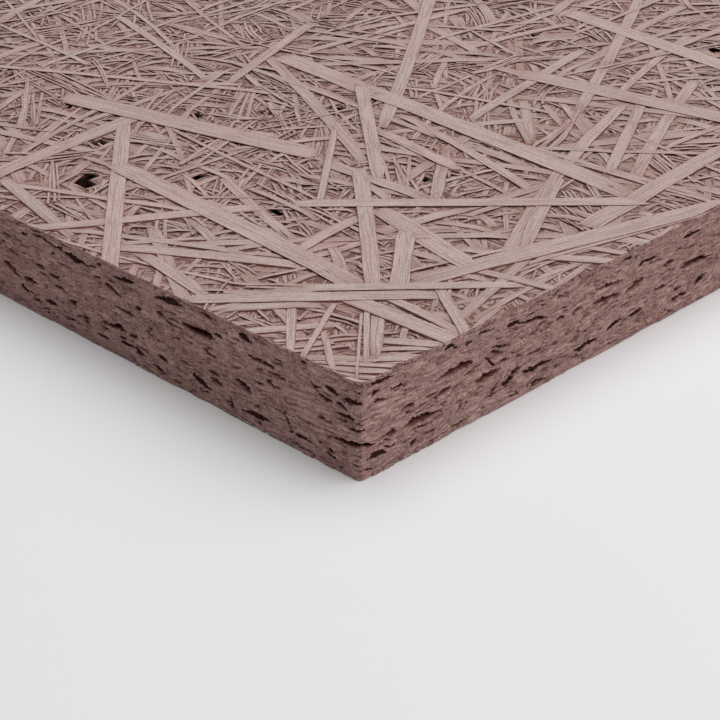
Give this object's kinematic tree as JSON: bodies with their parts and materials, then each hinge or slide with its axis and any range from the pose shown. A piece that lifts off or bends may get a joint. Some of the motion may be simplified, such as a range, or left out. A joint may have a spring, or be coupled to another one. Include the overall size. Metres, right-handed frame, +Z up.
{
  "type": "wood wool board",
  "caption": "Flat square board of pressed, cement-bound wood wool with square sawn edges, open slits in its edges and open pores in its faces, for lining walls and ceilings.",
  "frame": {"origin": "middle of the underside", "axes": "+Z up through the thickness, +X and +Y along the two sides of the square board"},
  "size_m": [0.6, 0.6, 0.025],
  "materials": {
    "wood_wool": "matte, cement-coated shavings, pale pinkish brown, rough and fibrous"
  },
  "bodies": {
    "root": {"board": "wood_wool"}
  },
  "joints": []
}
